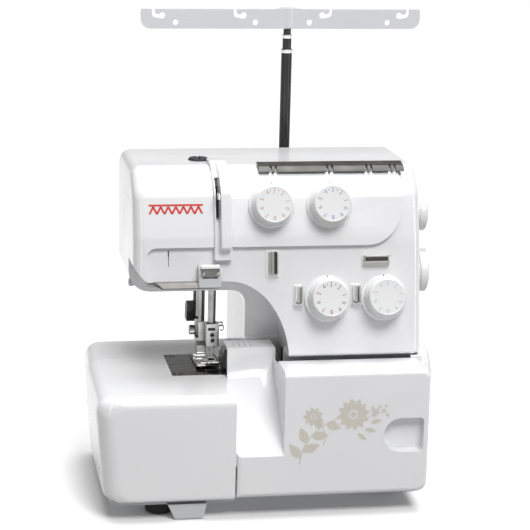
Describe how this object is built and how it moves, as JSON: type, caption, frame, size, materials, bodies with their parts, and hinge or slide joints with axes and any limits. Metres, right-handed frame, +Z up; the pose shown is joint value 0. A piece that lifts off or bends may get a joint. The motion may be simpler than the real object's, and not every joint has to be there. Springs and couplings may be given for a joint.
{
  "type": "serger overlock machine",
  "caption": "Table-top serger with swing-out cloth plate, fold-down looper cover, turning tension dials and a telescopic thread guide on its spool stand.",
  "frame": {"origin": "centre of the footprint at the height of the table, under the feet", "axes": "+X to the operator's right towards the handwheel, +Y away from the operator, +Z up"},
  "size_m": [0.3245, 0.27, 0.419],
  "materials": {
    "gloss_white": "glossy moulded ABS",
    "dial_white": "satin moulded plastic",
    "light_grey": "satin moulded plastic",
    "dark_plastic": "fine matt texture",
    "rubber": "matt",
    "casting": "painted casting",
    "satin_steel": "satin",
    "bright_steel": "polished",
    "dark_chrome": "bright, smoked",
    "lamp_clear": "frosted"
  },
  "bodies": {
    "machine": {"bed_cover": "gloss_white", "head_front_cover": "gloss_white", "head_rear_cover": "gloss_white", "side_cover": "gloss_white", "take_up_cover": "gloss_white", "spool_stand": "gloss_white", "base_pan": "light_grey", "arm_thread_guide": "light_grey", "spool_pin_1": "light_grey", "spool_pin_2": "light_grey", "spool_pin_3": "light_grey", "spool_pin_4": "light_grey", "motor": "dark_plastic", "power_inlet": "dark_plastic", "foot_front_left": "rubber", "foot_front_right": "rubber", "foot_rear_left": "rubber", "foot_rear_right": "rubber", "drive_belt": "rubber", "bed_frame": "casting", "machine_frame": "casting", "needle_plate": "satin_steel", "top_thread_guide": "satin_steel", "thread_guide_upright": "satin_steel", "thread_guide_level": "satin_steel", "thread_hook_left": "satin_steel", "thread_hook_right": "satin_steel", "lower_knife": "bright_steel", "pole_outer": "dark_chrome", "lamp_lens": "lamp_clear"},
    "cloth_plate": {"cloth_plate": "gloss_white"},
    "cover_carriage": {"cover_hinge_rod": "bright_steel"},
    "looper_cover": {"looper_cover": "gloss_white"},
    "handwheel": {"handwheel": "dial_white", "main_shaft": "satin_steel"},
    "motor_pulley": {"motor_pulley": "satin_steel"},
    "needle_bar": {"needle_bar": "bright_steel", "needle_clamp": "satin_steel", "needle_left": "bright_steel", "needle_right": "bright_steel"},
    "take_up_lever": {"take_up_lever": "bright_steel"},
    "lower_looper": {"lower_looper": "bright_steel"},
    "upper_looper": {"upper_looper": "bright_steel"},
    "upper_knife": {"upper_knife": "satin_steel"},
    "feed_dog": {"feed_dog": "satin_steel"},
    "presser_bar": {"presser_bar": "satin_steel", "foot_holder": "light_grey"},
    "presser_foot": {"presser_foot": "bright_steel"},
    "lifter_lever": {"lifter_lever": "dark_plastic"},
    "pressure_dial": {"pressure_dial": "dark_plastic"},
    "tension_dial_left_needle": {"tension_dial_left_needle": "dial_white"},
    "tension_dial_right_needle": {"tension_dial_right_needle": "dial_white"},
    "tension_dial_upper_looper": {"tension_dial_upper_looper": "dial_white"},
    "tension_dial_lower_looper": {"tension_dial_lower_looper": "dial_white"},
    "stitch_length_dial": {"stitch_length_dial": "dial_white"},
    "differential_dial": {"differential_dial": "dial_white"},
    "power_switch": {"power_switch": "dark_plastic"},
    "pole_middle": {"pole_middle": "dark_chrome"},
    "pole_upper": {"pole_upper": "dark_chrome"},
    "guide_bar": {"guide_bar": "light_grey"}
  },
  "joints": [
    {"name": "cloth_plate_swing", "type": "hinge", "parent": "machine", "child": "cloth_plate", "pos_m": [-0.16225, -0.0155, 0.06], "axis": [0, 0, -1], "range_deg": [0, 95]},
    {"name": "cover_slide", "type": "slide", "parent": "machine", "child": "cover_carriage", "axis": [1, 0, 0], "range_m": [0, 0.0035], "stiffness_N_per_m": 150, "springref_m": -0.003},
    {"name": "cover_hinge", "type": "hinge", "parent": "cover_carriage", "child": "looper_cover", "pos_m": [0.03775, -0.127, 0.026], "axis": [1, 0, 0], "range_deg": [0, 85]},
    {"name": "handwheel_turn", "type": "hinge", "parent": "machine", "child": "handwheel", "pos_m": [0.12675, -0.02, 0.0936], "axis": [1, 0, 0], "continuous": true},
    {"name": "motor_turn", "type": "hinge", "parent": "machine", "child": "motor_pulley", "pos_m": [0.06775, -0.039, 0.046], "axis": [1, 0, 0], "continuous": true},
    {"name": "needle_bar_slide", "type": "slide", "parent": "machine", "child": "needle_bar", "axis": [0, 0, 1], "range_m": [-0.006, 0.018]},
    {"name": "take_up_swing", "type": "hinge", "parent": "machine", "child": "take_up_lever", "pos_m": [-0.05505, -0.0435, 0.25], "axis": [1, 0, 0], "range_deg": [-10.5, 3.6]},
    {"name": "lower_looper_swing", "type": "hinge", "parent": "machine", "child": "lower_looper", "pos_m": [-0.06425, -0.041, 0.044], "axis": [0, 1, 0], "range_deg": [-2.2, 6.2]},
    {"name": "upper_looper_swing", "type": "hinge", "parent": "machine", "child": "upper_looper", "pos_m": [-0.02825, -0.051, 0.06], "axis": [0, 1, 0], "range_deg": [-3.3, 1.2]},
    {"name": "upper_knife_slide", "type": "slide", "parent": "machine", "child": "upper_knife", "axis": [0, 0, 1], "range_m": [-0.0014, 0.0038]},
    {"name": "feed_dog_slide", "type": "slide", "parent": "machine", "child": "feed_dog", "axis": [0, 1, 0], "range_m": [-0.0008, 0.0021]},
    {"name": "presser_bar_slide", "type": "slide", "parent": "machine", "child": "presser_bar", "axis": [0, 0, 1], "range_m": [0, 0.006], "stiffness_N_per_m": 800, "springref_m": -0.01},
    {"name": "presser_foot_tilt", "type": "hinge", "parent": "presser_bar", "child": "presser_foot", "pos_m": [-0.05925, -0.0235, 0.115], "axis": [1, 0, 0], "range_deg": [-3, 0.5]},
    {"name": "lifter_swing", "type": "hinge", "parent": "machine", "child": "lifter_lever", "pos_m": [-0.06225, -0.004, 0.196], "axis": [1, 0, 0], "range_deg": [0, 12.5]},
    {"name": "pressure_dial_turn", "type": "hinge", "parent": "machine", "child": "pressure_dial", "pos_m": [-0.06325, -0.018, 0.29], "axis": [0, 0, 1], "range_deg": [-540, 540]},
    {"name": "tension_left_needle_turn", "type": "hinge", "parent": "machine", "child": "tension_dial_left_needle", "pos_m": [-0.00785, -0.07561, 0.263], "axis": [0, -0.9659, 0.2588], "range_deg": [-218, 110]},
    {"name": "tension_right_needle_turn", "type": "hinge", "parent": "machine", "child": "tension_dial_right_needle", "pos_m": [0.04295, -0.07561, 0.263], "axis": [0, -0.9659, 0.2588], "range_deg": [-218, 110]},
    {"name": "tension_upper_looper_turn", "type": "hinge", "parent": "machine", "child": "tension_dial_upper_looper", "pos_m": [0.04125, -0.08901, 0.1826], "axis": [0, -0.9659, 0.2588], "range_deg": [-218, 110]},
    {"name": "tension_lower_looper_turn", "type": "hinge", "parent": "machine", "child": "tension_dial_lower_looper", "pos_m": [0.09115, -0.08901, 0.1826], "axis": [0, -0.9659, 0.2588], "range_deg": [-218, 110]},
    {"name": "stitch_length_turn", "type": "hinge", "parent": "machine", "child": "stitch_length_dial", "pos_m": [0.12605, -0.035, 0.2465], "axis": [1, 0, 0], "range_deg": [-100, 160]},
    {"name": "differential_turn", "type": "hinge", "parent": "machine", "child": "differential_dial", "pos_m": [0.12605, -0.035, 0.192], "axis": [1, 0, 0], "range_deg": [-60, 60]},
    {"name": "power_rocker", "type": "hinge", "parent": "machine", "child": "power_switch", "pos_m": [0.11975, -0.0685, 0.067], "axis": [0, 1, 0], "range_deg": [0, 6]},
    {"name": "pole_middle_slide", "type": "slide", "parent": "machine", "child": "pole_middle", "axis": [0, 0, 1], "range_m": [0, 0.085]},
    {"name": "pole_upper_slide", "type": "slide", "parent": "pole_middle", "child": "pole_upper", "axis": [0, 0, 1], "range_m": [0, 0.085]},
    {"name": "guide_bar_turn", "type": "hinge", "parent": "pole_upper", "child": "guide_bar", "pos_m": [0.02955, 0.063, 0.4005], "axis": [0, 0, 1], "range_deg": [-90, 90]}
  ],
  "couplings": [
    {"joint": "motor_turn", "follows": "handwheel_turn", "ratio": 2.875},
    {"joint": "take_up_swing", "follows": "needle_bar_slide", "rad_per_m": -10},
    {"joint": "lower_looper_swing", "follows": "needle_bar_slide", "rad_per_m": 5.8},
    {"joint": "upper_looper_swing", "follows": "needle_bar_slide", "rad_per_m": -3},
    {"joint": "upper_knife_slide", "follows": "needle_bar_slide", "ratio": 0.2},
    {"joint": "feed_dog_slide", "follows": "needle_bar_slide", "ratio": 0.11},
    {"joint": "lifter_swing", "follows": "presser_bar_slide", "rad_per_m": 35}
  ]
}
